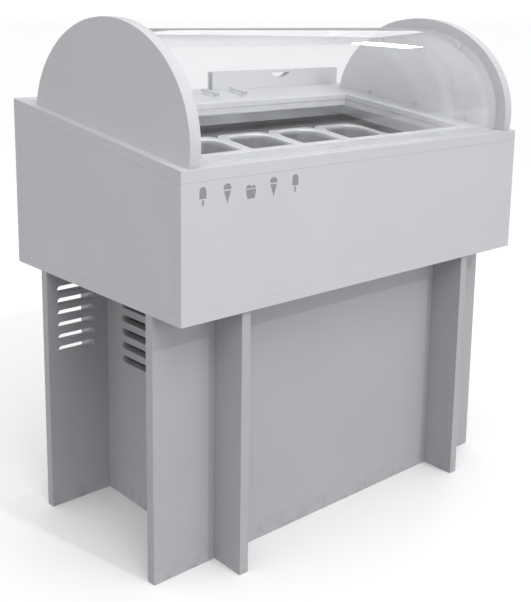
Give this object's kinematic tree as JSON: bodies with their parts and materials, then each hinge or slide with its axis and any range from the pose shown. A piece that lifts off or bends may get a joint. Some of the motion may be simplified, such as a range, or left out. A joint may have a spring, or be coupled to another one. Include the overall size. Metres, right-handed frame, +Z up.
{
  "type": "ice cream dipping cabinet",
  "caption": "Refrigerated counter for scooped ice cream: pans in a cold well under a curved clear canopy, on a crossed-board stand.",
  "frame": {"origin": "on the floor, under the middle of the box", "axes": "+X to the customer's right, +Y towards the operator, +Z up; the customer stands at -Y"},
  "size_m": [1.03, 0.622, 1.1242],
  "materials": {
    "black_plastic": "moulded, fine grain",
    "black_rubber": "matte",
    "black_steel": "black enamel",
    "chrome": "polished",
    "clear_acrylic": "clear, polished",
    "copper": "drawn copper pipe",
    "dull_steel": "unpolished stainless steel",
    "fin_aluminium": "mill finish fins",
    "foam": "rigid insulating foam",
    "grey_laminate": "light grey melamine laminate on board, satin",
    "guide_aluminium": "anodised",
    "motor_steel": "grey enamel",
    "raw_board": "bare board",
    "stainless": "satin stainless steel",
    "switch_green": "moulded, gloss",
    "white_laminate": "white melamine laminate on board, satin",
    "white_plastic": "moulded, satin",
    "white_steel": "powder coated, satin",
    "zinc_steel": "zinc plated"
  },
  "bodies": {
    "cabinet": {"access_panel_guides": "guide_aluminium", "box_bottom_panel": "white_laminate", "box_corner_cleats": "raw_board", "box_front_panel": "white_laminate", "box_rear_panel": "white_laminate", "box_side_panel_left": "white_laminate", "box_side_panel_right": "white_laminate", "bracket_screws": "zinc_steel", "canopy_rest_pins": "chrome", "cheek_left": "white_laminate", "cheek_right": "white_laminate", "cheek_screws": "zinc_steel", "compressor_motor": "motor_steel", "compressor_mounts": "black_rubber", "compressor_shell": "black_steel", "condenser_coil": "fin_aluminium", "control_plate": "stainless", "control_plate_screws": "zinc_steel", "deck_cleats": "raw_board", "discharge_line": "copper", "drain_bottle": "white_plastic", "drain_tube": "white_plastic", "electrical_box": "black_plastic", "evaporator_coil": "copper", "fan_motor": "motor_steel", "fan_shroud": "zinc_steel", "filter_drier": "copper", "liquid_line": "copper", "machine_deck": "raw_board", "pan_rails": "stainless", "power_inlet": "black_plastic", "service_cover": "white_steel", "service_cover_screws": "zinc_steel", "stand_brackets": "zinc_steel", "stand_front_board": "grey_laminate", "stand_rear_board": "grey_laminate", "stand_side_board_left": "grey_laminate", "stand_side_board_right": "grey_laminate", "suction_line": "copper", "supply_cable": "black_rubber", "switch_housing": "black_plastic", "temperature_display": "black_plastic", "thermostat_body": "black_plastic", "tub_insulation": "foam", "unit_base": "zinc_steel", "utensil_rests": "chrome", "well_frame": "white_plastic", "well_trim": "stainless", "well_tub": "dull_steel", "worktop": "white_laminate"},
    "canopy": {"canopy": "clear_acrylic"},
    "access_panel": {"rear_access_panel": "white_laminate"},
    "fan": {"condenser_fan": "black_plastic"},
    "knob": {"thermostat_knob": "black_plastic"},
    "rocker": {"power_switch": "switch_green"},
    "pan_1": {"pan_1": "stainless"},
    "pan_2": {"pan_2": "stainless"},
    "pan_3": {"pan_3": "stainless"},
    "pan_4": {"pan_4": "stainless"},
    "pan_5": {"pan_5": "stainless"}
  },
  "joints": [
    {"name": "pan_1_lift", "type": "slide", "parent": "cabinet", "child": "pan_1", "axis": [0, -0.137, 0.9906], "range_m": [0, 0.17]},
    {"name": "pan_2_lift", "type": "slide", "parent": "cabinet", "child": "pan_2", "axis": [0, -0.137, 0.9906], "range_m": [0, 0.17]},
    {"name": "pan_3_lift", "type": "slide", "parent": "cabinet", "child": "pan_3", "axis": [0, -0.137, 0.9906], "range_m": [0, 0.17]},
    {"name": "pan_4_lift", "type": "slide", "parent": "cabinet", "child": "pan_4", "axis": [0, -0.137, 0.9906], "range_m": [0, 0.17]},
    {"name": "pan_5_lift", "type": "slide", "parent": "cabinet", "child": "pan_5", "axis": [0, -0.137, 0.9906], "range_m": [0, 0.17]},
    {"name": "canopy_lift", "type": "slide", "parent": "cabinet", "child": "canopy", "axis": [0, 0, 1], "range_m": [0, 0.25]},
    {"name": "access_panel_lift", "type": "slide", "parent": "cabinet", "child": "access_panel", "axis": [0, 0, 1], "range_m": [0, 0.25]},
    {"name": "fan_spin", "type": "hinge", "parent": "cabinet", "child": "fan", "pos_m": [-0.24, -0.0065, 0.203], "axis": [1, 0, 0], "continuous": true},
    {"name": "thermostat_turn", "type": "hinge", "parent": "cabinet", "child": "knob", "pos_m": [0.27, 0.215, 0.45], "axis": [0, -1, 0], "range_deg": [0, 270]},
    {"name": "switch_rock", "type": "hinge", "parent": "cabinet", "child": "rocker", "pos_m": [0.205, 0.207, 0.45], "axis": [-1, 0, 0], "range_deg": [0, 14]}
  ]
}
